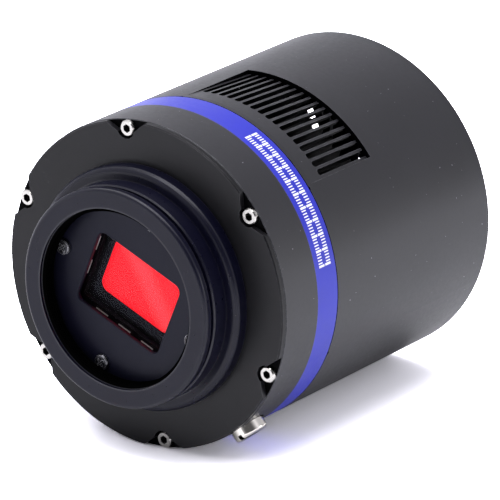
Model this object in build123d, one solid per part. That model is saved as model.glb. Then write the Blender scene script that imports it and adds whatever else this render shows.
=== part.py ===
from build123d import *
import math
import os

# Cooled astronomy camera: a Ø90 mm barrel with a telescope adapter at the front,
# a thermoelectrically cooled sensor inside and a fan behind a grille at the rear.
#
# Each part is drawn in an axis frame: origin at the centre of the adapter's front
# face, +Z running back along the optical axis, +X to the right and -Y up as seen
# from the front with the sensor level.  to_row() then lays the camera on its side:
# the optical axis becomes row +Y, up becomes row +Z, and the barrel is rolled.
# Lengths are in millimetres.  Angles are clock angles: from +X towards up, seen
# from the front.

ROLL = 22.2

# Barrel, front to rear (distances behind the adapter's front face)
BARREL_R = 45.0
PLATE_FRONT = 13.0
PLATE_BACK = 14.6
HOUSING_BACK = 28.5
BAND_BACK = 37.2
FLANGE_BACK = 43.6
BARREL_BACK = 108.0
TUBE_BORE_R = 42.7

# Telescope adapter ring, M48 x 0.75
THREAD_R = 23.6
THREAD_ROOT_R = 23.95
THREAD_PITCH = 0.75
THREAD_TURNS = 4
THREAD_MOUTH_R = 24.65
MOUTH_DEPTH = 0.9
ADAPTER_R = 30.0
GROOVE_R = 27.4
COLLAR_R = 33.5
COLLAR_FRONT = 8.7
NECK_R = 25.0
NECK_FRONT = 7.2

# Window and sensor stack
WINDOW_PLATE_FRONT = 6.0
WINDOW_W = 28.4
WINDOW_H = 22.0
WINDOW_CORNER = 2.2
GLASS_W = 37.4
GLASS_H = 31.4
GLASS_CORNER = 4.0
GLASS_FRONT = 7.5
GLASS_BACK = 9.5
LEDGE_W = 34.4
LEDGE_H = 28.4
LEDGE_CORNER = 2.6
LEDGE_BACK = 10.7
WINDOW_SCREW_CIRCLE = 22.7
PACKAGE_W = 34.8
PACKAGE_H = 28.8
PACKAGE_FRONT = 11.0
PACKAGE_BACK = 14.0
CAVITY_W = 30.4
CAVITY_H = 24.4
DIE_FRONT = 13.0
DIE_BACK = 13.5
IMAGE_W = 24.5
IMAGE_H = 16.5
IMAGE_CORNER = 2.7
BOARD_FRONT = 16.8
BOARD_BACK = 18.4
CHAMBER_R = 36.0
CHAMBER_FRONT = 16.6

# Six socket screws that clamp the front housing, band and rear tube together
HOUSING_SCREW_CIRCLE = 42.6
HOUSING_SCREW_CLOCKS = [0, 60, 120, 180, 240, 300]
SCREW_R = 1.25
SCREW_HEAD_R = 2.2
SCREW_HEAD_FRONT = 13.5
SCREW_HEAD_HEIGHT = 2.2

# Desiccant port plug in the side of the front housing
PORT_CLOCK = -28.0
PORT_DEPTH = 19.4
PLUG_R = 4.65
PLUG_STEM_R = 3.0
PLUG_TOP_R = 47.8
PLUG_END_R = 38.2
SPOT_FACE_R = 43.6
SPOT_FACE_RADIUS = 5.2
PLUG_SEAL_R = 0.6

# Cooler: cold finger, thermoelectric module, finned heat sink
COLD_FINGER_W = 20.0
COLD_FINGER_H = 14.0
TEC_SIZE = 31.0
TEC_FRONT = 24.9
TEC_CERAMIC = 0.8
SINK_R = 39.4
FIN_ENVELOPE_R = 36.5
FIN_BACK = 69.0
FIN_THICKNESS = 1.2
FIN_PITCH = 3.6
CHANNEL_HALF_W = 8.0
CHANNEL_DEPTH = 25.5
FLEX_OFFSET = 33.0
CABLE_SIDE = Rot(0, 0, 180)

# Printed graduation on the band
TICK_COUNT = 51
TICK_FIRST = 34.5
TICK_PITCH = 1.02

# Side vents: a shallow tapered pocket with through slots, above and below
VENT_CLOCKS = [90, -90]
VENT_HALF_SPAN = 28.8
POCKET_FRONT = 39.0
POCKET_BACK = 65.9
POCKET_DEPTH = 1.25
SLOT_COUNT = 17
SLOT_PITCH = 3.3
SLOT_WIDTH = 1.78
SLOT_CORNER = 0.75
SLOT_FRONT = 44.0

# Rear: fan, grille plate, sockets and board
FAN_SIZE = 60.0
FAN_FRONT = 93.5
FAN_BACK = 103.5
FAN_BORE_R = 28.5
FAN_HOLE_PITCH = 50.0
HUB_R = 12.5
BLADE_TIP_R = 27.6
BLADE_COUNT = 7
BEARING_R = 3.0
SHAFT_R = 1.5
SHAFT_CLEARANCE = 0.05
REAR_PLATE_R = 43.3
REAR_PLATE_BACK = 106.0
GRILLE_RINGS = [(9.5, 12.5), (13.9, 16.9), (18.3, 21.3), (22.7, 25.7)]
GRILLE_SPOKE = 2.6
REAR_BOSS_CIRCLE = 40.0
REAR_BOSS_CLOCKS = [22.5, 112.5, 202.5, 292.5]
PILLAR_CIRCLE = 38.6
PILLAR_CLOCKS = [67.5, 157.5, 247.5, 337.5]
IO_BOARD_FRONT = 86.0
IO_BOARD_BACK = 87.6
USB_W = 12.0
USB_H = 11.0
USB_CLOCK = 180
USB_CENTRE_R = 36.2
JACK_CLOCK = 0
JACK_CENTRE_R = 36.4
JACK_R = 4.0
JACK_BORE_R = 2.9
HUB_W = 13.1
HUB_H = 5.7
HUB_CLOCKS = [90, 270]
HUB_CENTRE_R = 36.4
LED_CLOCK = 14.0
LED_CENTRE_R = 38.0
LED_R = 0.9


# ---- helpers ---------------------------------------------------------------

def to_row(shape):
    return Rot(0, ROLL, 0) * Rot(-90, 0, 0) * shape


def save(name, made):
    shapes = made if isinstance(made, list) else [made]
    solids = [solid for shape in shapes for solid in to_row(shape).solids()]
    export_step(Compound(children=solids, label=name), f"parts/{name}.step")


def at_clock(radius, clock, depth=0.0):
    a = math.radians(clock)
    return Pos(radius * math.cos(a), -radius * math.sin(a), depth)


def facing_clock(radius, clock, depth=0.0):
    """Local frame whose +X points outwards at this clock angle."""
    return at_clock(radius, clock, depth) * Rot(0, 0, -clock)


def radial_frame(clock, depth):
    """Local frame on the axis whose +Z points outwards at this clock angle."""
    return Pos(0, 0, depth) * Rot(0, 0, -clock) * Rot(0, 90, 0)


def disc(radius, front, back):
    return Pos(0, 0, front) * extrude(Circle(radius), back - front)


def ring(outer, inner, front, back):
    return disc(outer, front, back) - disc(inner, front - 1, back + 1)


def block(width, height, front, back, corner=0.0):
    outline = RectangleRounded(width, height, corner) if corner else Rectangle(width, height)
    return Pos(0, 0, front) * extrude(outline, back - front)


def turned(points):
    """Solid of revolution from (radius, depth) points."""
    outline = make_face(Polyline(*points, close=True))
    return revolve(Plane.XZ * outline, Axis.Z, 360)


def drilled(shape, radius, circle, clocks, front, back):
    for clock in clocks:
        shape -= at_clock(circle, clock) * disc(radius, front, back)
    return shape


def edge_at(shape, radius, depth):
    """Circular edges of this radius that lie at this depth."""
    edges = shape.edges().filter_by(GeomType.CIRCLE)
    return [e for e in edges if abs(e.radius - radius) < 0.02 and abs(e.center().Z - depth) < 0.02]


# ---- front: adapter, plate and screws ------------------------------------------

def rounded_rim(radius, front, rounding):
    """Profile points round a front outer edge, from the side to the front face."""
    points = []
    for k in range(7):
        turn = math.radians(15 * k)
        points.append((radius - rounding * (1 - math.cos(turn)), front + rounding * (1 - math.sin(turn))))
    return points


def adapter_ring():
    inner = [(THREAD_MOUTH_R, 0.0), (THREAD_MOUTH_R, MOUTH_DEPTH), (THREAD_R, MOUTH_DEPTH + 0.4)]
    depth = MOUTH_DEPTH + 0.45
    for _ in range(THREAD_TURNS):
        inner.append((THREAD_R, depth + 0.25))
        inner.append((THREAD_ROOT_R, depth + 0.45))
        inner.append((THREAD_ROOT_R, depth + 0.5))
        inner.append((THREAD_R, depth + THREAD_PITCH - 0.05))
        depth += THREAD_PITCH
    thread_end = depth + 0.2
    inner += [(THREAD_R, thread_end), (NECK_R + 0.05, thread_end), (NECK_R + 0.05, PLATE_FRONT)]
    outer = [
        (COLLAR_R, PLATE_FRONT),
        *rounded_rim(COLLAR_R, COLLAR_FRONT, 1.8),
        (ADAPTER_R, COLLAR_FRONT),
        (ADAPTER_R, 4.1),
        (ADAPTER_R - 0.35, 3.75),
        (GROOVE_R, 3.5),
        (GROOVE_R, 2.9),
        (ADAPTER_R - 0.3, 2.4),
        (ADAPTER_R, 2.2),
        *rounded_rim(ADAPTER_R, 0.0, 1.0),
    ]
    return turned(inner + outer)


def notch_cutter():
    """Screw notch: round bottom at the screw, flaring out to the rim."""
    outline = make_face(Polyline((-2.6, -0.7), (-10.2, 4.0), (10.2, 4.0), (2.6, -0.7), close=True))
    outline += Circle(2.7)
    return Rot(0, 0, -90) * extrude(outline, 6)


def front_plate():
    plate = disc(BARREL_R - 0.2, PLATE_FRONT, PLATE_BACK)
    plate -= disc(NECK_R + 0.1, 0, 20)
    plate = chamfer(edge_at(plate, BARREL_R - 0.2, PLATE_FRONT), 0.35)
    for clock in HOUSING_SCREW_CLOCKS:
        plate -= facing_clock(HOUSING_SCREW_CIRCLE, clock, PLATE_FRONT - 1) * notch_cutter()
    corners = [e for e in plate.edges().filter_by(Axis.Z)
               if math.hypot(e.center().X, e.center().Y) > BARREL_R - 0.5]
    return fillet(corners, 0.6) if corners else plate


def socket_screw(length):
    front = SCREW_HEAD_FRONT
    back = front + SCREW_HEAD_HEIGHT
    head = disc(SCREW_HEAD_R, front, back)
    head = chamfer(edge_at(head, SCREW_HEAD_R, front), 0.3)
    socket = Pos(0, 0, front) * extrude(RegularPolygon(1.2, 6), 1.6)
    return (head - socket) + disc(SCREW_R, back, back + length)


def housing_screws():
    screw = socket_screw(27.0)
    return [at_clock(HOUSING_SCREW_CIRCLE, c) * screw for c in HOUSING_SCREW_CLOCKS]


# ---- window ---------------------------------------------------------------------

def window_plate():
    plate = disc(NECK_R - 0.1, WINDOW_PLATE_FRONT, NECK_FRONT)
    plate -= block(WINDOW_W, WINDOW_H, 0, 20, WINDOW_CORNER)
    edges = [e for e in plate.edges() if abs(e.center().Z - WINDOW_PLATE_FRONT) < 0.01
             and e.center().X ** 2 + e.center().Y ** 2 > 25
             and abs(e.center().X) < 15 and abs(e.center().Y) < 12]
    plate = chamfer(edges, 0.3)
    return drilled(plate, SCREW_R + 0.1, WINDOW_SCREW_CIRCLE, [0, 90, 180, 270], 0, 20)


def window_screws():
    """Low pan-head cross-recess screws."""
    head = turned([(0, 4.9), (1.5, 4.93), (1.9, 5.05), (2.1, 5.3), (2.1, 6.0), (0, 6.0)])
    cross = block(2.3, 0.5, 4.0, 5.6) + block(0.5, 2.3, 4.0, 5.6)
    screw = (head - cross) + disc(SCREW_R, WINDOW_PLATE_FRONT, 10.6)
    return [facing_clock(WINDOW_SCREW_CIRCLE, c) * Rot(0, 0, 31) * screw for c in (0, 90, 180, 270)]


def window_gasket():
    sheet = block(GLASS_W, GLASS_H, NECK_FRONT, GLASS_FRONT, GLASS_CORNER)
    return sheet - block(31.0, 25.0, 0, 20, 2.5)


def window_glass():
    return block(GLASS_W, GLASS_H, GLASS_FRONT, GLASS_BACK, GLASS_CORNER)


# ---- sensor -----------------------------------------------------------------------

def sensor_package():
    body = block(PACKAGE_W, PACKAGE_H, PACKAGE_FRONT, PACKAGE_BACK, 1.0)
    body -= block(CAVITY_W, CAVITY_H, 0, DIE_FRONT - 0.35, 0.8)
    return body - block(28.0, 20.0, 0, DIE_BACK, 0.5)


def bond_pads():
    """Gold pads on the package rim: three on each long side, two on each short side."""
    pads = []
    top = PACKAGE_FRONT - 0.06
    for side in (-1, 1):
        for x in (-8.0, 0.0, 8.0):
            pads.append(Pos(x, side * 13.4, 0) * block(4.2, 0.34, top, PACKAGE_FRONT))
        for y in (-3.9, 3.9):
            pads.append(Pos(side * 16.2, y, 0) * block(0.34, 4.4, top, PACKAGE_FRONT))
    return pads


def sensor_die():
    return block(27.8, 19.8, DIE_FRONT, DIE_BACK)


def image_area():
    return block(IMAGE_W + 1, IMAGE_H + 1, DIE_FRONT - 0.05, DIE_FRONT)


def sensor_mask():
    """Thin black frame over the die's border; its round-cornered opening shows the image area."""
    mask = block(CAVITY_W - 0.2, CAVITY_H - 0.2, DIE_FRONT - 0.35 - 0.25, DIE_FRONT - 0.35, 0.6)
    return mask - block(IMAGE_W, IMAGE_H, 0, 20, IMAGE_CORNER)


def sensor_cover_glass():
    return block(CAVITY_W - 0.2, CAVITY_H - 0.2, 11.7, DIE_FRONT - 0.6, 0.6)


def sensor_socket():
    """Plastic frame between the package and its board, with the contact pins."""
    frame = block(33.0, 27.0, PACKAGE_BACK, BOARD_FRONT)
    return frame - block(COLD_FINGER_W + 2, COLD_FINGER_H + 2, 0, 30)


def sensor_pins():
    pins = []
    for side in (-1, 1):
        for k in range(11):
            x = (k - 5) * 2.54
            pins.append(Pos(x, side * 11.8, 0) * block(0.5, 0.5, BOARD_FRONT, BOARD_BACK + 1.2))
    return pins


def sensor_board():
    board = disc(33.0, BOARD_FRONT, BOARD_BACK)
    board -= block(COLD_FINGER_W + 1, COLD_FINGER_H + 1, 0, 30, 1)
    board = drilled(board, SCREW_R + 0.1, 30.5, [45, 135, 225, 315], 0, 30)
    for side in (-1, 1):
        for k in range(11):
            x = (k - 5) * 2.54
            board -= Pos(x, side * 11.8, 0) * block(0.5, 0.5, 0, 30)
    return board


def sensor_board_screws():
    head = disc(2.2, BOARD_BACK, BOARD_BACK + 1.4)
    shank = disc(SCREW_R, 15.2, BOARD_BACK)
    slot = block(3.0, 0.5, BOARD_BACK + 0.8, BOARD_BACK + 3)
    screw = head + shank - slot
    return [at_clock(30.5, c) * screw for c in (45, 135, 225, 315)]


def sensor_chips():
    """Memory and power chips on the sensor board's rear, and the flex connector."""
    chips = [Pos(x, 21.5, 0) * block(9, 7, BOARD_BACK, BOARD_BACK + 1.1) for x in (-11, 0, 11)]
    chips += [Pos(side * 24, 0, 0) * block(8, 8, BOARD_BACK, BOARD_BACK + 1.0) for side in (-1, 1)]
    return [CABLE_SIDE * chip for chip in chips]


def flex_connector():
    return CABLE_SIDE * Pos(0, -27.0, 0) * block(14.0, 4.0, BOARD_BACK, BOARD_BACK + 2.0)


# ---- front housing with its neck ----------------------------------------------------

def front_housing():
    body = disc(BARREL_R, PLATE_BACK, HOUSING_BACK) + disc(NECK_R, NECK_FRONT, PLATE_BACK)
    body = chamfer(edge_at(body, BARREL_R, PLATE_BACK), 0.2)
    body -= block(GLASS_W + 0.2, GLASS_H + 0.2, 0, GLASS_BACK, GLASS_CORNER)
    body -= block(LEDGE_W, LEDGE_H, 0, 20, LEDGE_CORNER)
    body -= disc(23.0, LEDGE_BACK, 20)
    body -= disc(CHAMBER_R, CHAMBER_FRONT, 40)
    body = drilled(body, SCREW_R, WINDOW_SCREW_CIRCLE, [0, 90, 180, 270], 0, 10.7)
    body = drilled(body, SCREW_R, 30.5, [45, 135, 225, 315], 15.2, 20)
    body = drilled(body, SCREW_R + 0.1, HOUSING_SCREW_CIRCLE, HOUSING_SCREW_CLOCKS, 0, 40)
    seat = SCREW_HEAD_FRONT + SCREW_HEAD_HEIGHT
    body = drilled(body, SCREW_HEAD_R + 0.08, HOUSING_SCREW_CIRCLE, HOUSING_SCREW_CLOCKS, 0, seat)
    return body - port_cutter()


def port_cutter():
    frame = radial_frame(PORT_CLOCK, PORT_DEPTH)
    bore = frame * (Pos(0, 0, 20) * extrude(Circle(PLUG_STEM_R), 30))
    spot = frame * (Pos(0, 0, SPOT_FACE_R) * extrude(Circle(SPOT_FACE_RADIUS), 5))
    return bore + spot


def chamber_seal():
    torus = Torus(37.6, 0.8)
    return Pos(0, 0, HOUSING_BACK + 0.8) * torus


# ---- desiccant port ------------------------------------------------------------------

def plug_seal():
    frame = radial_frame(PORT_CLOCK, PORT_DEPTH)
    return frame * (Pos(0, 0, SPOT_FACE_R + PLUG_SEAL_R) * Torus(3.75, PLUG_SEAL_R))


def port_plug():
    """Round plug with a coin slot, a stem in the bore and a drilled desiccant well."""
    under = SPOT_FACE_R + 2 * PLUG_SEAL_R
    head = disc(PLUG_R, under, PLUG_TOP_R)
    head = fillet(edge_at(head, PLUG_R, PLUG_TOP_R), 0.8)
    head -= block(12, 1.2, PLUG_TOP_R - 1.3, PLUG_TOP_R + 1)
    stem = disc(PLUG_STEM_R - 0.1, PLUG_END_R, under)
    well = disc(1.9, PLUG_END_R - 1.0, under - 1.0)
    return radial_frame(PORT_CLOCK, PORT_DEPTH) * (head + stem - well)


# ---- cooler ---------------------------------------------------------------------------

def cold_finger():
    finger = block(COLD_FINGER_W, COLD_FINGER_H, PACKAGE_BACK, 21.9, 0.5)
    return finger + block(30.0, 30.0, 21.9, TEC_FRONT, 1.0)


def tec_ceramics():
    cold = block(TEC_SIZE - 1, TEC_SIZE - 1, TEC_FRONT, TEC_FRONT + TEC_CERAMIC)
    hot = block(TEC_SIZE, TEC_SIZE, HOUSING_BACK - TEC_CERAMIC, HOUSING_BACK)
    return [cold, hot]


def tec_pellets():
    front = TEC_FRONT + TEC_CERAMIC
    back = HOUSING_BACK - TEC_CERAMIC
    pellet = block(1.6, 1.6, front, back)
    return [Pos((i - 4.5) * 2.9, (j - 4.5) * 2.9, 0) * pellet for i in range(10) for j in range(10)]


def heat_sink():
    base = disc(SINK_R, HOUSING_BACK, BAND_BACK)
    base -= Pos(0, 0, HOUSING_BACK + 0.8) * Torus(37.6, 0.8)
    base -= ring(38.4, 36.8, HOUSING_BACK - 1, HOUSING_BACK + 0.8)
    base -= Pos(0, -FLEX_OFFSET, 0) * block(14.0, 4.0, 0, 60)
    for x in (-4.0, 4.0):
        base -= Pos(x, -28.0, 0) * disc(0.75, 0, 60)
    fins = None
    for k in range(-9, 10):
        x = k * FIN_PITCH
        half = math.sqrt(FIN_ENVELOPE_R ** 2 - (abs(x) + FIN_THICKNESS / 2) ** 2)
        low = -CHANNEL_DEPTH if abs(x) < CHANNEL_HALF_W else -half
        fin = Pos(x, (half + low) / 2, 0) * block(FIN_THICKNESS, half - low, BAND_BACK, FIN_BACK)
        fins = fin if fins is None else fins + fin
    return CABLE_SIDE * (base + fins)


def feedthrough():
    """Potting block that seals the flat cable's slot through the heat sink base."""
    body = Pos(0, -FLEX_OFFSET, 0) * block(14.0, 4.0, HOUSING_BACK, BAND_BACK)
    return CABLE_SIDE * (body - Pos(0, -FLEX_OFFSET, 0) * block(12.0, 0.3, 0, 60))


def flex_cable():
    riser = Pos(0, -31.075, 0) * block(12.0, 4.15, BOARD_BACK + 0.8, BOARD_BACK + 1.1)
    run = Pos(0, -FLEX_OFFSET, 0) * block(12.0, 0.3, BOARD_BACK + 0.8, IO_BOARD_FRONT)
    return CABLE_SIDE * (riser + run)


def tec_leads():
    leads = []
    for x in (-4.0, 4.0):
        path = FilletPolyline((x, -15.0, 26.7), (x, -28.0, 26.7), (x, -28.0, IO_BOARD_FRONT), radius=1.2)
        leads.append(CABLE_SIDE * sweep(Plane(path @ 0, z_dir=path % 0) * Circle(0.6), path))
    return leads


# ---- band and rear tube -------------------------------------------------------------------

def blue_band():
    band = ring(BARREL_R, SINK_R + 0.1, HOUSING_BACK, BAND_BACK)
    return drilled(band, SCREW_R + 0.1, HOUSING_SCREW_CIRCLE, HOUSING_SCREW_CLOCKS, 20, 50)


def band_ticks():
    """Two printed rows of plain graduation ticks, a longer and wider one at every fifth."""
    skin = ring(BARREL_R + 0.05, BARREL_R, HOUSING_BACK, BAND_BACK)
    ticks = []
    for depth, outward in ((HOUSING_BACK + 3.0, -1), (HOUSING_BACK + 5.7, 1)):
        for k in range(TICK_COUNT):
            major = k % 5 == 0
            length = 2.3 if major else 1.7
            width = 0.62 if major else 0.34
            centre = depth + outward * (2.3 - length) / 2
            mark = facing_clock(BARREL_R, TICK_FIRST + k * TICK_PITCH, centre) * Box(0.3, width, length)
            ticks.append(mark & skin)
    return ticks


def vent_pocket(clock):
    """Tapered pocket: flush with the barrel at its front, POCKET_DEPTH deep at its rear wall."""
    wedge = turned([(BARREL_R, POCKET_FRONT), (BARREL_R - POCKET_DEPTH, POCKET_BACK),
                    (BARREL_R + 5, POCKET_BACK), (BARREL_R + 5, POCKET_FRONT)])
    a = math.radians(VENT_HALF_SPAN)
    reach = 80.0
    sector = make_face(Polyline((0, 0), (reach * math.cos(a), reach * math.sin(a)),
                                (reach * math.cos(a), -reach * math.sin(a)), close=True))
    return wedge & (Rot(0, 0, -clock) * Pos(0, 0, 30) * extrude(sector, 60))


def vent_slots(clock):
    """Slots with round-cornered front ends that run back to the pocket's rear wall."""
    cutters = []
    length = POCKET_BACK - SLOT_FRONT
    outline = RectangleRounded(length + 4, SLOT_WIDTH, SLOT_CORNER) & Pos(2, 0) * Rectangle(length, 4)
    slot = Pos(0, 0, 35) * extrude(outline, 20)
    for k in range(SLOT_COUNT):
        angle = clock + (k - (SLOT_COUNT - 1) / 2) * SLOT_PITCH
        cutters.append(radial_frame(angle, (SLOT_FRONT + POCKET_BACK) / 2 + 2) * slot)
    return cutters


def rear_tube():
    tube = ring(BARREL_R, TUBE_BORE_R, BAND_BACK, BARREL_BACK)
    tube = chamfer(edge_at(tube, BARREL_R, BARREL_BACK), 0.5)
    tube += ring(TUBE_BORE_R + 0.5, 37.0, BAND_BACK, FLANGE_BACK)
    tube -= ring(BARREL_R + 1, BARREL_R - 0.35, BAND_BACK, BAND_BACK + 0.35)
    for clock in HOUSING_SCREW_CLOCKS:
        tube -= radial_frame(clock, BAND_BACK) * Pos(0, 0, BARREL_R - 0.9) * extrude(Circle(0.7), 3)
    tube = drilled(tube, SCREW_R, HOUSING_SCREW_CIRCLE, HOUSING_SCREW_CLOCKS, 30, 42.8)
    for clock in REAR_BOSS_CLOCKS:
        tube += (at_clock(REAR_BOSS_CIRCLE, clock) * disc(2.9, 92.0, FAN_BACK)) & disc(43.5, 0, 200)
    tube -= ring(REAR_PLATE_R + 0.1, 10, FAN_BACK, BARREL_BACK + 1)
    tube = drilled(tube, SCREW_R, REAR_BOSS_CIRCLE, REAR_BOSS_CLOCKS, 96.0, 120)
    for clock in VENT_CLOCKS:
        tube -= vent_pocket(clock)
        for cutter in vent_slots(clock):
            tube -= cutter
    return tube


# ---- rear plate, fan and electronics ----------------------------------------------------------

def rear_plate():
    plate = disc(REAR_PLATE_R, FAN_BACK, REAR_PLATE_BACK)
    plate = chamfer(edge_at(plate, REAR_PLATE_R, REAR_PLATE_BACK), 0.3)
    spokes = block(60, GRILLE_SPOKE, 100, 110) + block(GRILLE_SPOKE, 60, 100, 110)
    for inner, outer in GRILLE_RINGS:
        plate -= ring(outer, inner, 100, 110) - Rot(0, 0, 45) * spokes
    plate = drilled(plate, SCREW_R + 0.1, REAR_BOSS_CIRCLE, REAR_BOSS_CLOCKS, 100, 110)
    plate = drilled(plate, SCREW_R + 0.1, PILLAR_CIRCLE, PILLAR_CLOCKS, 100, 110)
    plate = drilled(plate, 1.6, FAN_HOLE_PITCH / math.sqrt(2), [45, 135, 225, 315], 100, 110)
    plate -= facing_clock(USB_CENTRE_R, USB_CLOCK) * block(USB_H + 0.2, USB_W + 0.2, 100, 110, 0.8)
    plate -= at_clock(JACK_CENTRE_R, JACK_CLOCK) * disc(JACK_R + 0.1, 100, 110)
    for clock in HUB_CLOCKS:
        plate -= facing_clock(HUB_CENTRE_R, clock) * block(HUB_H + 0.2, HUB_W + 0.2, 100, 110)
    return plate - at_clock(LED_CENTRE_R, LED_CLOCK) * disc(LED_R, 100, 110)


def button_screw(radius, head_radius, front, back):
    """Domed socket screw whose head sits on a rear face at depth back."""
    head = turned([(0, back), (head_radius, back), (head_radius, back + 0.5),
                   (head_radius * 0.75, back + 1.2), (0, back + 1.35)])
    head -= Pos(0, 0, back + 0.5) * extrude(RegularPolygon(radius * 0.75, 6), 2)
    return head + disc(radius, front, back)


def rear_plate_screws():
    screw = button_screw(SCREW_R, 2.1, 97.0, REAR_PLATE_BACK)
    return [at_clock(REAR_BOSS_CIRCLE, c) * screw for c in REAR_BOSS_CLOCKS]


def pillar_screws():
    screw = button_screw(SCREW_R, 2.1, 99.0, REAR_PLATE_BACK)
    return [at_clock(PILLAR_CIRCLE, c) * screw for c in PILLAR_CLOCKS]


def fan_screws():
    screw = button_screw(1.5, 2.6, 94.5, REAR_PLATE_BACK)
    return [at_clock(FAN_HOLE_PITCH / math.sqrt(2), c) * screw for c in (45, 135, 225, 315)]


def board_pillars():
    """Hexagonal pillars between the rear plate and the input board."""
    pillar = Pos(0, 0, IO_BOARD_BACK) * extrude(RegularPolygon(2.3, 6), FAN_BACK - IO_BOARD_BACK)
    pillar -= disc(SCREW_R, 99.0, 110)
    pillar -= disc(SCREW_R, 80, 93.0)
    return [at_clock(PILLAR_CIRCLE, c) * pillar for c in PILLAR_CLOCKS]


def board_screws():
    screw = disc(2.1, IO_BOARD_FRONT - 1.4, IO_BOARD_FRONT) + disc(SCREW_R, IO_BOARD_FRONT, 92.0)
    screw -= block(3.0, 0.5, 0, IO_BOARD_FRONT - 0.8)
    return [at_clock(PILLAR_CIRCLE, c) * screw for c in PILLAR_CLOCKS]


def io_board():
    board = ring(42.2, 31.0, IO_BOARD_FRONT, IO_BOARD_BACK)
    tongue = Pos(0, -34, 0) * block(24, 20, IO_BOARD_FRONT, IO_BOARD_BACK)
    board += CABLE_SIDE * (ring(42.2, 26.0, IO_BOARD_FRONT, IO_BOARD_BACK) & tongue)
    return drilled(board, SCREW_R + 0.1, PILLAR_CIRCLE, PILLAR_CLOCKS, 80, 100)


def io_chips():
    chips = []
    for clock in (30, 48, 110, 138, 210, 228, 290, 318):
        chip = block(5.0, 6.0, IO_BOARD_FRONT - 1.2, IO_BOARD_FRONT)
        chips.append(facing_clock(36.0, clock) * chip)
    return chips


def capacitors():
    can = disc(2.4, IO_BOARD_BACK, IO_BOARD_BACK + 5.0)
    can = chamfer(edge_at(can, 2.4, IO_BOARD_BACK + 5.0), 0.3)
    return [at_clock(36.5, clock) * can for clock in (125, 145, 215)]


def usb_shell():
    """Square metal socket, open to the rear."""
    frame = facing_clock(USB_CENTRE_R, USB_CLOCK)
    shell = block(USB_H, USB_W, IO_BOARD_BACK, REAR_PLATE_BACK, 0.6)
    return frame * (shell - block(USB_H - 1.0, USB_W - 1.0, 92.0, 120, 0.4))


def usb_tongue():
    frame = facing_clock(USB_CENTRE_R, USB_CLOCK)
    tongue = [block(3.0, 5.6, 92.0, 104.6, 0.3), Pos(3.2, 0, 0) * block(0.9, 6.4, 92.0, 104.6)]
    return [frame * piece for piece in tongue]


def power_jack():
    body = block(9.0, 9.0, IO_BOARD_BACK, FAN_BACK) + disc(JACK_R, FAN_BACK, REAR_PLATE_BACK + 0.4)
    return at_clock(JACK_CENTRE_R, JACK_CLOCK) * (body - disc(JACK_BORE_R, 94.0, 120))


def power_pin():
    return at_clock(JACK_CENTRE_R, JACK_CLOCK) * disc(1.05, 94.0, 104.5)


def hub_shells():
    shell = block(HUB_H, HUB_W, IO_BOARD_BACK, REAR_PLATE_BACK, 0.4)
    shell -= block(HUB_H - 0.7, HUB_W - 0.7, 92.0, 120, 0.3)
    return [facing_clock(HUB_CENTRE_R, c) * shell for c in HUB_CLOCKS]


def hub_tongues():
    tongue = Pos(1.1, 0, 0) * block(1.8, 11.2, 92.0, 104.8)
    return [facing_clock(HUB_CENTRE_R, c) * tongue for c in HUB_CLOCKS]


def status_led():
    led = disc(LED_R, IO_BOARD_BACK, REAR_PLATE_BACK)
    return at_clock(LED_CENTRE_R, LED_CLOCK) * fillet(edge_at(led, LED_R, REAR_PLATE_BACK), 0.5)


def fan_frame():
    """Square fan frame with its motor seat carried on four struts at the front."""
    frame = block(FAN_SIZE, FAN_SIZE, FAN_FRONT, FAN_BACK, 5.0)
    frame -= block(FAN_SIZE + 2, FAN_SIZE + 2, FAN_FRONT + 1.8, FAN_BACK - 1.8) - disc(29.9, 90, 110)
    frame -= disc(FAN_BORE_R, 90, 110)
    frame += disc(13.0, FAN_FRONT, FAN_FRONT + 1.4)
    for clock in (20, 110, 200, 290):
        strut = facing_clock(20.75, clock) * block(17.0, 2.2, FAN_FRONT, FAN_FRONT + 1.6)
        frame += strut
    frame -= disc(BEARING_R, 90, 110)
    return drilled(frame, 1.6, FAN_HOLE_PITCH / math.sqrt(2), [45, 135, 225, 315], 90, 110)


def fan_bearing():
    return ring(BEARING_R, SHAFT_R + SHAFT_CLEARANCE, FAN_FRONT, 101.0)


def fan_stator():
    core = ring(5.0, BEARING_R, 95.6, 100.6)
    for clock in range(0, 360, 60):
        core += facing_clock(6.7, clock) * block(5.0, 2.4, 95.8, 100.4)
        pole = ring(10.3, 8.6, 95.8, 100.4) & (Rot(0, 0, -clock) * Pos(9.5, 0, 0) * block(4, 7.0, 90, 110))
        core += pole
    return core


def fan_blade():
    """One pitched blade: lofted between two sloping radial sections."""
    root = Plane(origin=(HUB_R - 0.4, 0, 99.1), x_dir=(0, math.cos(0.62), math.sin(0.62)), z_dir=(1, 0, 0))
    tip = Plane(origin=(BLADE_TIP_R, 0, 99.1), x_dir=(0, math.cos(0.42), math.sin(0.42)), z_dir=(1, 0, 0))
    return loft([root * Ellipse(4.7, 0.6), tip * Ellipse(8.2, 0.5)])


def fan_rotor():
    rotor = ring(HUB_R, HUB_R - 1.0, 95.6, 102.8) + disc(HUB_R, 101.6, 102.8)
    for k in range(BLADE_COUNT):
        rotor += Rot(0, 0, k * 360 / BLADE_COUNT) * fan_blade()
    rotor -= disc(HUB_R - 1.0, 90, 101.6)
    rotor -= disc(SHAFT_R, 90, 110)
    return rotor & disc(BLADE_TIP_R, 90, 110)


def fan_magnet():
    return ring(HUB_R - 1.0, 10.8, 95.8, 101.2)


def fan_shaft():
    return disc(SHAFT_R, FAN_FRONT + 0.4, 102.6)


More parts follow.
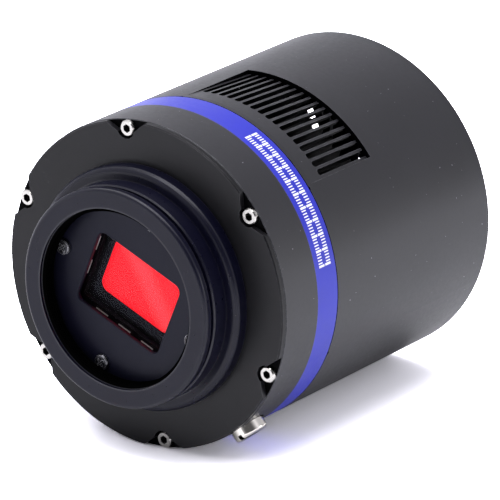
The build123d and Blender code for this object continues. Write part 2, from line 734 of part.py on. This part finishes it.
NODES = {
    "adapter_ring": adapter_ring,
    "front_plate": front_plate,
    "housing_screws": housing_screws,
    "window_plate": window_plate,
    "window_screws": window_screws,
    "window_gasket": window_gasket,
    "window_glass": window_glass,
    "sensor_package": sensor_package,
    "bond_pads": bond_pads,
    "sensor_die": sensor_die,
    "image_area": image_area,
    "sensor_mask": sensor_mask,
    "sensor_cover_glass": sensor_cover_glass,
    "sensor_socket": sensor_socket,
    "sensor_pins": sensor_pins,
    "sensor_board": sensor_board,
    "sensor_board_screws": sensor_board_screws,
    "sensor_chips": sensor_chips,
    "flex_connector": flex_connector,
    "front_housing": front_housing,
    "chamber_seal": chamber_seal,
    "plug_seal": plug_seal,
    "port_plug": port_plug,
    "cold_finger": cold_finger,
    "tec_ceramics": tec_ceramics,
    "tec_pellets": tec_pellets,
    "heat_sink": heat_sink,
    "feedthrough": feedthrough,
    "flex_cable": flex_cable,
    "tec_leads": tec_leads,
    "blue_band": blue_band,
    "band_ticks": band_ticks,
    "rear_tube": rear_tube,
    "rear_plate": rear_plate,
    "rear_plate_screws": rear_plate_screws,
    "pillar_screws": pillar_screws,
    "fan_screws": fan_screws,
    "board_pillars": board_pillars,
    "board_screws": board_screws,
    "io_board": io_board,
    "io_chips": io_chips,
    "capacitors": capacitors,
    "usb_shell": usb_shell,
    "usb_tongue": usb_tongue,
    "power_jack": power_jack,
    "power_pin": power_pin,
    "hub_shells": hub_shells,
    "hub_tongues": hub_tongues,
    "status_led": status_led,
    "fan_frame": fan_frame,
    "fan_bearing": fan_bearing,
    "fan_stator": fan_stator,
    "fan_rotor": fan_rotor,
    "fan_magnet": fan_magnet,
    "fan_shaft": fan_shaft,
}

os.makedirs("parts", exist_ok=True)
for node, make in NODES.items():
    save(node, make())
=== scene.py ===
import math

import bpy
from mathutils import Matrix, Vector


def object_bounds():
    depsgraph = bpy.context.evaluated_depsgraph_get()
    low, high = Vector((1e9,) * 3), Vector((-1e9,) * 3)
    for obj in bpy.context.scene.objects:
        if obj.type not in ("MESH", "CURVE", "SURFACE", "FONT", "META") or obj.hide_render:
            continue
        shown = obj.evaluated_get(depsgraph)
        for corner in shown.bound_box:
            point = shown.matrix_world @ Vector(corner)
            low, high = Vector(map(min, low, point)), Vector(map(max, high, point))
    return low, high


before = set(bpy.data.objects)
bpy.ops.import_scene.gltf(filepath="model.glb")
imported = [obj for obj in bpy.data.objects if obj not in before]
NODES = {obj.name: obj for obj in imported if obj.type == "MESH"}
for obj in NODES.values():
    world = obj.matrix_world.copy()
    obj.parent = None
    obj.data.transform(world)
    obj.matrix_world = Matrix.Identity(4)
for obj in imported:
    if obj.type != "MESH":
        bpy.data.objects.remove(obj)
CAD_BOX = [list(corner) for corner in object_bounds()]

# Towards the camera and to its right, its place in metres, and its lens in millimetres
CAMERA_BACK = (0.5583, -0.7571, 0.3395)
CAMERA_RIGHT = (0.8049, 0.5935, 0.0)
CAMERA_PLACE = (0.81798, -1.04952, 0.49385)
CAMERA_LENS = 392.56
SENSOR_WIDTH = 36.0

# Dark cards of the studio: direction, inner and outer angle in degrees, level inside
CARDS = [
    (CAMERA_BACK, 22, 62, 0.10),
    ((0.10, 0.76, 0.64), 28, 52, 0.58),
    ((0.65, 0.76, 0.03), 3, 20, 0.15),
]
SKY_TINT = (0.96, 0.96, 1.04)
# The bright patch overhead, by the height of its direction
OVERHEAD_FROM = 0.86
OVERHEAD_TO = 0.97
OVERHEAD_LEVEL = 7.0

# Soft lights: place, size of the square, power; all aim at the middle of the object
LIGHTS = {
    "above_left": ((-0.9, 0.5, 1.2), 0.9, 5.0),
    "rim": ((0.12, -0.62, 0.88), 0.22, 0.7),
    "right_fill": ((0.75, 0.50, 0.15), 0.3, 0.8),
}
LIGHT_AIM = (0.0, 0.05, 0.0)

# Noise scales (per metre) and bump depths (metres) shared by the materials
BLAST_SCALE = 5200.0
SCRATCH_SCALE = 4200.0
DUST_SCALE = 1500.0
FINE_BUMP = 0.00003
# Near-black for painted shade on the walls of slots and notches and on the face behind the notches
PAINTED_SHADE_BLACK = (0.001, 0.001, 0.0012, 1)
WORN_EDGE = (0.42, 0.42, 0.45, 1)
DUST_COLOUR = (0.5, 0.5, 0.55, 1)
# In front of this Y, in metres, the tube's sideways faces are the walls of its slots, which get painted shade
SLOT_WALLS_END = 0.100

# Floor: ends and rise of its profile, radius of the bend, half its width, steps of the bend, turn in degrees
FLOOR_FRONT = -3.0
FLOOR_BACK = 3.2
FLOOR_TOP = 2.4
FLOOR_BEND = 0.9
FLOOR_HALF_WIDTH = 3.5
FLOOR_STEPS = 12
FLOOR_TURN = 36.4
# Brightness of the floor to the camera; anything else sees ordinary white
FLOOR_SHOWN = (2.90, 2.86, 2.94)


# ---- node helpers ---------------------------------------------------------------

class Shader:
    """A material with a Principled surface, and short calls for the nodes that feed it."""

    def __init__(self, name):
        self.mat = bpy.data.materials.new(name)
        self.mat.use_nodes = True
        self.tree = self.mat.node_tree
        self.bsdf = self.tree.nodes["Principled BSDF"]

    def node(self, kind, inputs=None, **props):
        made = self.tree.nodes.new(kind)
        for key, value in props.items():
            setattr(made, key, value)
        for key, value in (inputs or {}).items():
            self.put(made.inputs[key], value)
        return made

    def put(self, socket, value):
        if isinstance(value, bpy.types.NodeSocket):
            self.tree.links.new(value, socket)
        else:
            socket.default_value = value

    def set(self, **inputs):
        names = {"base": "Base Color", "rough": "Roughness", "metal": "Metallic", "normal": "Normal",
                 "emission": "Emission Color", "glow": "Emission Strength",
                 "spec": "Specular IOR Level"}
        for key, value in inputs.items():
            self.put(self.bsdf.inputs[names[key]], value)

    def math(self, kind, a, b=0.0, clamp=False):
        made = self.node("ShaderNodeMath", {0: a, 1: b}, operation=kind, use_clamp=clamp)
        return made.outputs[0]

    def coords(self):
        return self.node("ShaderNodeTexCoord").outputs["Object"]

    def barrel(self):
        """Coordinates wound round the optical axis: (angle, distance along Y, radius)."""
        split = self.node("ShaderNodeSeparateXYZ", {0: self.coords()}).outputs
        angle = self.math("ARCTAN2", split["Z"], split["X"])
        square = self.math("ADD", self.math("POWER", split["X"], 2.0), self.math("POWER", split["Z"], 2.0))
        radius = self.math("SQRT", square)
        return angle, split["Y"], radius

    def wound(self, along, around):
        """Barrel coordinates scaled for a texture: stretched round the barrel."""
        angle, y, radius = self.barrel()
        return self.node("ShaderNodeCombineXYZ", {
            0: self.math("MULTIPLY", angle, around),
            1: self.math("MULTIPLY", y, along),
            2: self.math("MULTIPLY", radius, along)}).outputs[0]

    def noise(self, scale, detail=2.0, vector=None):
        made = self.node("ShaderNodeTexNoise", {"Scale": scale, "Detail": detail})
        self.put(made.inputs["Vector"], vector if vector is not None else self.coords())
        return made.outputs["Fac"]

    def fade(self, factor, low, high, out_low=0.0, out_high=1.0):
        made = self.node("ShaderNodeMapRange", {"Value": factor, "From Min": low, "From Max": high,
                                                "To Min": out_low, "To Max": out_high})
        return made.outputs["Result"]

    def mix(self, factor, a, b):
        made = self.node("ShaderNodeMix", data_type="RGBA")
        self.put(made.inputs[0], factor)
        self.put(made.inputs[6], a)
        self.put(made.inputs[7], b)
        return made.outputs[2]

    def facing(self):
        """How far the surface faces outwards from the optical axis, and how far it faces along +Y."""
        split = self.node("ShaderNodeSeparateXYZ", {0: self.coords()}).outputs
        turn = self.node("ShaderNodeSeparateXYZ",
                         {0: self.node("ShaderNodeNewGeometry").outputs["True Normal"]}).outputs
        side = self.math("ADD", self.math("MULTIPLY", turn["X"], split["X"]),
                         self.math("MULTIPLY", turn["Z"], split["Z"]))
        return self.math("DIVIDE", side, self.barrel()[2]), turn["Y"]

    def creases(self, reach):
        """1 in the open, towards 0 deep inside sockets, slots and corners."""
        shade = self.node("ShaderNodeAmbientOcclusion", {"Distance": reach}, samples=8, only_local=True)
        return shade.outputs["AO"]

    def bump(self, height, strength, distance, normal=None):
        inputs = {"Height": height, "Strength": strength, "Distance": distance}
        if normal is not None:
            inputs["Normal"] = normal
        return self.node("ShaderNodeBump", inputs).outputs["Normal"]

    def edges(self, radius, gain=6.0):
        """0 on open faces, towards 1 along convex and concave edges."""
        rounded = self.node("ShaderNodeBevel", {"Radius": radius}, samples=4).outputs["Normal"]
        flat = self.node("ShaderNodeNewGeometry").outputs["Normal"]
        dot = self.node("ShaderNodeVectorMath", {0: rounded, 1: flat}, operation="DOT_PRODUCT")
        turn = self.math("SUBTRACT", 1.0, dot.outputs["Value"])
        return self.math("MULTIPLY", turn, gain, clamp=True)


def grey(value, tint=(1.0, 1.0, 1.0)):
    return (value * tint[0], value * tint[1], value * tint[2], 1)


# ---- materials ---------------------------------------------------------------------

def anodised(name, dark, light, rough=0.42, wear=0.35, turned=0.25, spec=0.5, hood=0.0,
             blast=0.22, painted_shade=None, gloss=0.0, dust=0.0):
    """Anodised, fine-blasted aluminium: grain, faint turning lines, paler worn edges.

    hood: inside this radius the part is painted black as shade, with no reflection.  painted_shade: "walls"
    paints the walls of slots near-black as shade, "notches" those of the screw notches and "face" the front
    face behind
    them.  gloss: extra shine on rounded rims.
    dust: pale specks."""
    s = Shader(name)
    cloud = s.noise(45.0, 2.0)
    grain = s.noise(BLAST_SCALE, 2.0)
    lines = s.noise(1.0, 3.0, s.wound(9000.0, 6.0))
    colour = s.mix(s.fade(cloud, 0.3, 0.7), dark, light)
    colour = s.mix(s.fade(grain, 0.35, 0.75, 0.0, blast * 1.5), colour, light)
    scuffs = s.fade(s.noise(700.0, 4.0), 0.42, 0.62)
    worn = s.math("MULTIPLY", s.edges(0.00022), s.math("ADD", scuffs, 0.35), clamp=True)
    colour = s.mix(s.math("MULTIPLY", worn, wear), colour, WORN_EDGE)
    roughness = s.fade(s.noise(900.0, 4.0), 0.3, 0.7, rough - 0.03, rough + 0.03)
    normal = s.bump(lines, turned * 0.25, 0.00004)
    normal = s.bump(grain, blast, FINE_BUMP, normal)
    outward, back = s.facing()
    # Painted shade: the faces picked below are painted near-black, with almost no reflection
    if painted_shade == "walls":
        flat = s.math("LESS_THAN", s.math("ABSOLUTE", outward), 0.6)
        ahead = s.math("LESS_THAN", s.barrel()[1], SLOT_WALLS_END)
        unshaded = s.math("SUBTRACT", 1.0, s.math("MULTIPLY", flat, ahead))
    elif painted_shade == "notches":
        front = s.math("LESS_THAN", back, -0.6)
        rim = s.math("GREATER_THAN", outward, 0.6)
        unshaded = s.math("MAXIMUM", front, rim)
    elif painted_shade == "face":
        unshaded = s.math("GREATER_THAN", back, -0.8)
    if painted_shade:
        colour = s.mix(unshaded, PAINTED_SHADE_BLACK, colour)
        spec = s.math("MULTIPLY", s.math("ADD", s.math("MULTIPLY", unshaded, 0.96), 0.04), spec)
    if gloss:
        spec = s.math("ADD", s.math("MULTIPLY", s.edges(0.0009, 8.0), gloss), spec)
    if dust:
        specks = s.fade(s.noise(DUST_SCALE, 0.0), 0.872, 0.892, 0.0, dust)
        colour = s.mix(specks, colour, DUST_COLOUR)
    # Painted shade: inside the hood radius the colour is black and the reflection is taken away
    if hood:
        outside = s.fade(s.barrel()[2], hood - 0.0003, hood, 0.0, 1.0)
        colour = s.mix(outside, grey(0.001), colour)
        spec = s.math("MULTIPLY", outside, spec)
    s.set(base=colour, rough=roughness, normal=normal, spec=spec)
    return s.mat


def recessed_black(name):
    """Black anodised disc at the bottom of the adapter, with painted shade: its reflection is weaker towards
    its left.
    """
    s = Shader(name)
    split = s.node("ShaderNodeSeparateXYZ", {0: s.coords()}).outputs
    # Painted shade: the reflection fades down to 70 % towards the left
    across = s.math("ADD", s.math("MULTIPLY", split["X"], 0.97), s.math("MULTIPLY", split["Z"], 0.22))
    shade = s.fade(across, -0.020, 0.006, 0.70, 1.0)
    grain = s.noise(BLAST_SCALE, 2.0)
    colour = s.mix(s.fade(grain, 0.3, 0.7), (0.003, 0.003, 0.009, 1), (0.006, 0.006, 0.014, 1))
    tint = s.mix(0.5, (0.75, 0.78, 1.0, 1), (1.0, 1.0, 1.0, 1))
    s.set(base=colour, rough=s.fade(s.noise(300.0), 0.3, 0.7, 0.34, 0.42),
          spec=s.math("MULTIPLY", shade, 0.20), normal=s.bump(grain, 0.2, FINE_BUMP))
    s.put(s.bsdf.inputs["Specular Tint"], tint)
    return s.mat


def bright_metal(name, colour, rough=0.22, scratch=0.5, dirt=0.3):
    """Machined bright metal with fine scratches and dull patches, and painted shade: near-black deep in
    sockets and creases.
    """
    s = Shader(name)
    cloud = s.noise(600.0, 3.0)
    fine = s.noise(SCRATCH_SCALE, 4.0)
    darker = tuple(c * 0.72 for c in colour[:3]) + (1,)
    base = s.mix(s.fade(cloud, 0.35, 0.75, 0.0, dirt), colour, darker)
    roughness = s.fade(fine, 0.25, 0.75, rough - 0.07, rough + 0.14)
    normal = s.bump(fine, scratch * 0.3, 0.00002)
    # Painted shade: the colour goes near-black where ambient occlusion finds sockets and creases
    base = s.mix(s.fade(s.creases(0.0022), 0.30, 0.70), (0.012, 0.011, 0.013, 1), base)
    s.set(base=base, rough=roughness, metal=1.0, normal=normal)
    return s.mat


def ringed_steel(name):
    """Blackened screw heads whose rims and recess edges are worn bright."""
    s = Shader(name)
    fine = s.noise(SCRATCH_SCALE, 3.0)
    rim = s.math("MULTIPLY", s.edges(0.00025, 14.0), s.fade(fine, 0.3, 0.6, 0.6, 1.0), clamp=True)
    base = s.mix(rim, (0.015, 0.015, 0.018, 1), (0.95, 0.95, 0.98, 1))
    s.set(base=base, metal=0.85, rough=s.fade(fine, 0.3, 0.7, 0.30, 0.42), normal=s.bump(fine, 0.15, 0.00002))
    return s.mat


def moulded(name, colour, rough=0.5, grain=0.3, spec=0.4):
    """Moulded plastic, rubber or ceramic with a fine grain and uneven sheen."""
    s = Shader(name)
    pebble = s.noise(3000.0, 2.0)
    cloud = s.noise(220.0, 3.0)
    lighter = tuple(min(1.0, c * 1.5 + 0.01) for c in colour[:3]) + (1,)
    base = s.mix(s.fade(cloud, 0.3, 0.75, 0.0, 0.6), colour, lighter)
    base = s.mix(s.math("MULTIPLY", s.edges(0.00015), 0.3), base, lighter)
    roughness = s.fade(s.noise(400.0, 3.0), 0.3, 0.7, rough - 0.06, rough + 0.08)
    s.set(base=base, rough=roughness, normal=s.bump(pebble, grain * 0.4, 0.00004), spec=spec)
    return s.mat


def circuit_board(name, mask, trace):
    """Solder mask over faint copper tracks, with plated vias."""
    s = Shader(name)
    tracks = s.node("ShaderNodeTexBrick", {"Scale": 190.0, "Mortar Size": 0.018, "Brick Width": 0.9,
                                           "Row Height": 0.22})
    turn = s.node("ShaderNodeMapping", {"Vector": s.coords(), "Rotation": (math.pi / 2, 0.0, 0.38)})
    s.put(tracks.inputs["Vector"], turn.outputs["Vector"])
    vias = s.node("ShaderNodeTexVoronoi", {"Scale": 420.0}, feature="F1").outputs["Distance"]
    base = s.mix(s.math("MULTIPLY", tracks.outputs["Fac"], 0.65), mask, trace)
    base = s.mix(s.fade(vias, 0.12, 0.16, 0.8, 0.0), base, (0.75, 0.60, 0.35, 1))
    s.set(base=base, rough=s.fade(s.noise(300.0), 0.3, 0.7, 0.22, 0.34),
          normal=s.bump(tracks.outputs["Fac"], 0.3, FINE_BUMP))
    return s.mat


def clear_glass(name, tint, sheen=0.16):
    """Coated flat glass: light goes straight through, and the surface adds a thin reflection."""
    s = Shader(name)
    view = s.node("ShaderNodeFresnel", {"IOR": 1.38}).outputs[0]
    smear = s.noise(160.0, 4.0)
    clear = s.node("ShaderNodeBsdfTransparent", {"Color": tint})
    gloss = s.node("ShaderNodeBsdfGlossy", {"Color": (0.75, 0.82, 1.0, 1),
                                            "Roughness": s.fade(smear, 0.4, 0.8, 0.01, 0.07)})
    amount = s.math("MULTIPLY", view, sheen * 4.0, clamp=True)
    both = s.node("ShaderNodeMixShader", {0: amount, 1: clear.outputs[0], 2: gloss.outputs[0]})
    out = s.tree.nodes["Material Output"]
    s.tree.links.new(both.outputs[0], out.inputs["Surface"])
    return s.mat


def image_surface(name):
    """The sensor's image area: saturated red with a painted paler slanting reflection, and a painted glow of
    its own.
    """
    s = Shader(name)
    split = s.node("ShaderNodeSeparateXYZ", {0: s.coords()}).outputs
    # Painted reflection: a paler slanting streak mixed into the red
    slant = s.math("ADD", s.math("MULTIPLY", split["X"], 0.93), s.math("MULTIPLY", split["Z"], 0.55))
    painted_streak = s.math("ABSOLUTE", s.math("SUBTRACT", slant, 0.002))
    sheen = s.fade(painted_streak, 0.0012, 0.0045, 1.0, 0.0)
    cells = s.noise(2600.0, 2.0)
    red = s.mix(s.fade(cells, 0.3, 0.7, 0.0, 0.25), (0.95, 0.006, 0.012, 1), (0.90, 0.014, 0.020, 1))
    base = s.mix(s.math("MULTIPLY", sheen, 0.55), red, (0.98, 0.055, 0.060, 1))
    # Painted light: the image area emits its own red glow
    s.set(base=base, rough=0.3, emission=base, glow=0.75, spec=0.06,
          normal=s.bump(cells, 0.08, 0.00002))
    return s.mat


def white_ink(name):
    s = Shader(name)
    speckle = s.noise(2500.0, 3.0)
    base = s.mix(s.fade(speckle, 0.45, 0.75, 0.0, 0.35), (0.93, 0.93, 0.97, 1), (0.70, 0.72, 0.88, 1))
    s.set(base=base, rough=0.55, normal=s.bump(speckle, 0.2, FINE_BUMP))
    return s.mat


def backdrop_white(name):
    """Overexposed white sweep: brighter to the camera than to the things standing on it."""
    s = Shader(name)
    haze = s.fade(s.noise(3.0, 3.0), 0.3, 0.7, 0.0, 1.0)
    paper = s.mix(haze, (0.95, 0.95, 0.96, 1), (0.97, 0.97, 0.98, 1))
    plain = s.node("ShaderNodeBsdfDiffuse", {"Color": paper, "Roughness": 0.4})
    strong = s.node("ShaderNodeVectorMath", {0: FLOOR_SHOWN, 3: s.fade(haze, 0.0, 1.0, 1.0, 1.03)},
                    operation="SCALE")
    shown = s.node("ShaderNodeBsdfDiffuse", {"Color": strong.outputs["Vector"]})
    seen = s.node("ShaderNodeLightPath").outputs["Is Camera Ray"]
    both = s.node("ShaderNodeMixShader", {0: seen, 1: plain.outputs[0], 2: shown.outputs[0]})
    s.tree.links.new(both.outputs[0], s.tree.nodes["Material Output"].inputs["Surface"])
    return s.mat


VIOLET = (0.95, 0.92, 1.12)
# Painted shade on the tube's slot walls, the housing face behind the notches and the front plate's notch
# walls
TUBE = anodised("tube_charcoal", grey(0.010, VIOLET), grey(0.014, VIOLET), rough=0.38, spec=0.5, painted_shade="walls",
                dust=0.6)
HOUSING = anodised("housing_charcoal", grey(0.012, VIOLET), grey(0.017, VIOLET), rough=0.39, spec=0.5,
                   painted_shade="face", dust=0.6)
FRONT = anodised("front_black", grey(0.004, VIOLET), grey(0.007, VIOLET), rough=0.36, turned=0.3, wear=0.15,
                 spec=0.28, painted_shade="notches")
REAR = anodised("rear_black", grey(0.006, VIOLET), grey(0.010, VIOLET), rough=0.38, turned=0.3, wear=0.15,
                spec=0.3)
RECESS = recessed_black("recess_black")
# The adapter's bore inside the hood radius is painted black as shade, with no reflection
ADAPTER = anodised("adapter_black", (0.0028, 0.0028, 0.0100, 1), (0.0042, 0.0042, 0.0130, 1), rough=0.30,
                   turned=0.05, wear=0.06, spec=0.25, hood=0.0247, blast=0.04, gloss=0.5)
BLUE = anodised("band_blue", (0.018, 0.024, 0.42, 1), (0.024, 0.031, 0.47, 1), rough=0.34, wear=0.12,
                spec=0.4)
SINK = anodised("sink_black", grey(0.003), grey(0.006), rough=0.5, turned=0.0, spec=0.15, wear=0.05)
STEEL = bright_metal("stainless", (0.64, 0.62, 0.58, 1), rough=0.20)
DARK_STEEL = ringed_steel("blackened_steel")
NICKEL = bright_metal("nickel", (0.86, 0.82, 0.75, 1), rough=0.09, dirt=0.12)
GOLD = bright_metal("gold_pins", (0.95, 0.80, 0.55, 1), rough=0.30)
PADS = moulded("pale_gold_pads", (0.90, 0.84, 0.76, 1), rough=0.5)
COPPER = bright_metal("copper", (0.80, 0.42, 0.26, 1), rough=0.30)
BRASS = bright_metal("brass", (0.80, 0.62, 0.30, 1), rough=0.28)
CAN = bright_metal("can_aluminium", (0.78, 0.78, 0.80, 1), rough=0.35)
DARK_IRON = bright_metal("sintered_iron", (0.20, 0.20, 0.21, 1), rough=0.55)
CERAMIC = moulded("package_ceramic", (0.004, 0.002, 0.003, 1), rough=0.45, spec=0.15)
MASK = moulded("mask_black", (0.002, 0.001, 0.001, 1), rough=0.5, grain=0.05, spec=0.06)
PLASTIC = moulded("black_plastic", (0.012, 0.012, 0.014, 1), rough=0.48)
CHIP = moulded("chip_epoxy", (0.020, 0.020, 0.022, 1), rough=0.55)
RUBBER = moulded("rubber", (0.008, 0.008, 0.008, 1), rough=0.70, spec=0.2)
WHITE_CERAMIC = moulded("white_ceramic", (0.78, 0.78, 0.74, 1), rough=0.55)
SILICON = moulded("silicon", (0.05, 0.02, 0.03, 1), rough=0.20, spec=0.6)
AMBER = moulded("flex_amber", (0.42, 0.17, 0.03, 1), rough=0.30)
WIRE = moulded("wire_red", (0.45, 0.02, 0.02, 1), rough=0.42)
EPOXY = moulded("potting", (0.02, 0.02, 0.02, 1), rough=0.25)
BLUE_PLASTIC = moulded("tongue_blue", (0.03, 0.08, 0.45, 1), rough=0.45)
LAMP = moulded("lamp_green", (0.20, 0.75, 0.30, 1), rough=0.25, spec=0.6)
BOARD = circuit_board("board_green", (0.010, 0.060, 0.030, 1), (0.02, 0.13, 0.06, 1))
BOARD_BLACK = circuit_board("board_black", (0.012, 0.012, 0.016, 1), (0.03, 0.03, 0.036, 1))
GLASS = clear_glass("window_coated", (0.98, 0.985, 1.0, 1), 0.02)
COVER = clear_glass("cover_coated", (1.0, 0.98, 0.98, 1), 0.015)
RED = image_surface("image_red")
INK = white_ink("white_ink")

FINISH = {
    "adapter_ring": ADAPTER, "front_plate": FRONT, "window_plate": RECESS, "front_housing": HOUSING,
    "rear_tube": TUBE, "rear_plate": REAR, "blue_band": BLUE, "band_ticks": INK,
    "housing_screws": STEEL, "window_screws": DARK_STEEL, "sensor_board_screws": STEEL,
    "rear_plate_screws": STEEL, "pillar_screws": STEEL, "fan_screws": STEEL, "board_screws": STEEL,
    "fan_shaft": STEEL, "port_plug": NICKEL, "usb_shell": NICKEL, "hub_shells": NICKEL,
    "power_pin": NICKEL, "window_gasket": RUBBER, "chamber_seal": RUBBER, "plug_seal": RUBBER,
    "window_glass": GLASS, "sensor_cover_glass": COVER, "sensor_package": CERAMIC,
    "bond_pads": PADS, "sensor_pins": GOLD, "sensor_die": SILICON, "image_area": RED,
    "sensor_mask": MASK, "sensor_socket": PLASTIC, "flex_connector": PLASTIC, "power_jack": PLASTIC,
    "hub_tongues": PLASTIC, "fan_frame": PLASTIC, "fan_rotor": PLASTIC, "sensor_board": BOARD,
    "sensor_chips": CHIP, "io_chips": CHIP, "cold_finger": COPPER, "fan_stator": COPPER,
    "tec_ceramics": WHITE_CERAMIC, "tec_pellets": DARK_IRON, "fan_magnet": DARK_IRON,
    "heat_sink": SINK, "feedthrough": EPOXY, "flex_cable": AMBER, "tec_leads": WIRE,
    "board_pillars": BRASS, "fan_bearing": BRASS, "io_board": BOARD_BLACK, "capacitors": CAN,
    "usb_tongue": BLUE_PLASTIC, "status_led": LAMP,
}


def finish_nodes():
    for name, obj in NODES.items():
        obj.data.materials.clear()
        obj.data.materials.append(FINISH[name])


# ---- stage -----------------------------------------------------------------------------

def sweep_floor():
    """Pale floor that curves up into a backdrop."""
    low = CAD_BOX[0][2]
    profile = [(FLOOR_FRONT, low)]
    for k in range(FLOOR_STEPS + 1):
        a = math.radians(90 * k / FLOOR_STEPS)
        y = FLOOR_BACK - FLOOR_BEND + FLOOR_BEND * math.sin(a)
        profile.append((y, low + FLOOR_BEND - FLOOR_BEND * math.cos(a)))
    profile.append((FLOOR_BACK, low + FLOOR_TOP))
    turn = Matrix.Rotation(math.radians(FLOOR_TURN), 3, "Z")
    rows = []
    for y, z in profile:
        rows.append([turn @ Vector((x, y, z)) for x in (-FLOOR_HALF_WIDTH, FLOOR_HALF_WIDTH)])
    verts = [tuple(v) for row in rows for v in row]
    faces = [(2 * i, 2 * i + 1, 2 * i + 3, 2 * i + 2) for i in range(len(rows) - 1)]
    mesh = bpy.data.meshes.new("floor")
    mesh.from_pydata(verts, [], faces)
    floor = bpy.data.objects.new("floor", mesh)
    bpy.context.scene.collection.objects.link(floor)
    for polygon in mesh.polygons:
        polygon.use_smooth = True
    mesh.materials.append(backdrop_white("backdrop_white"))


def area_light(name, place, side, power):
    data = bpy.data.lights.new(name, "AREA")
    data.shape = "RECTANGLE"
    data.size = side
    data.size_y = side
    data.energy = power
    lamp = bpy.data.objects.new(name, data)
    lamp.location = place
    lamp.rotation_euler = (Vector(LIGHT_AIM) - Vector(place)).to_track_quat("-Z", "Y").to_euler()
    bpy.context.scene.collection.objects.link(lamp)


def lighting():
    """White studio with dark cards behind the camera and behind the object, and light above."""
    world = bpy.data.worlds.new("studio")
    world.use_nodes = True
    tree = world.node_tree
    ground = tree.nodes["Background"]
    ground.inputs["Strength"].default_value = 1.0

    def node(kind, inputs, **props):
        made = tree.nodes.new(kind)
        for key, value in props.items():
            setattr(made, key, value)
        for key, value in inputs.items():
            if isinstance(value, bpy.types.NodeSocket):
                tree.links.new(value, made.inputs[key])
            else:
                made.inputs[key].default_value = value
        return made

    def card(centre, inner, outer, low):
        """1 away from a direction, falling to low inside a soft-edged disc round it."""
        away = Vector(centre).normalized()
        toward = node("ShaderNodeVectorMath", {0: ray, 1: away}, operation="DOT_PRODUCT")
        span = {"Value": toward.outputs["Value"], "From Min": math.cos(math.radians(outer)),
                "From Max": math.cos(math.radians(inner)), "To Min": 1.0, "To Max": low}
        return node("ShaderNodeMapRange", span, interpolation_type="SMOOTHSTEP").outputs["Result"]

    incoming = node("ShaderNodeNewGeometry", {}).outputs["Incoming"]
    ray = node("ShaderNodeVectorMath", {0: incoming, 3: -1.0}, operation="SCALE").outputs["Vector"]
    level = 1.0
    for placed in CARDS:
        level = node("ShaderNodeMath", {0: level, 1: card(*placed)}, operation="MULTIPLY").outputs[0]
    height = node("ShaderNodeSeparateXYZ", {0: ray}).outputs["Z"]
    rise = {"Value": height, "From Min": OVERHEAD_FROM, "From Max": OVERHEAD_TO,
            "To Min": 1.0, "To Max": OVERHEAD_LEVEL}
    overhead = node("ShaderNodeMapRange", rise, interpolation_type="SMOOTHSTEP")
    level = node("ShaderNodeMath", {0: level, 1: overhead.outputs["Result"]}, operation="MULTIPLY").outputs[0]
    seen = node("ShaderNodeLightPath", {}).outputs["Is Camera Ray"]
    shade = node("ShaderNodeMath", {0: level, 1: seen}, operation="MAXIMUM").outputs[0]
    tint = node("ShaderNodeVectorMath", {0: SKY_TINT, 3: shade}, operation="SCALE")
    tree.links.new(tint.outputs["Vector"], ground.inputs["Color"])
    bpy.context.scene.world = world
    for name, (place, side, power) in LIGHTS.items():
        area_light(name, place, side, power)


def camera():
    """Long lens from the front right and above, level, at the pictured angle."""
    right = Vector(CAMERA_RIGHT)
    back = Vector(CAMERA_BACK).normalized()
    right = (right - back * right.dot(back)).normalized()
    up = back.cross(right)
    data = bpy.data.cameras.new("camera")
    data.lens = CAMERA_LENS
    data.sensor_width = SENSOR_WIDTH
    data.clip_end = 20.0
    obj = bpy.data.objects.new("camera", data)
    turn = Matrix((right, up, back)).transposed().to_4x4()
    obj.matrix_world = Matrix.Translation(CAMERA_PLACE) @ turn
    bpy.context.scene.collection.objects.link(obj)
    bpy.context.scene.camera = obj


finish_nodes()
sweep_floor()
lighting()
camera()
bpy.context.scene.view_settings.view_transform = "Standard"
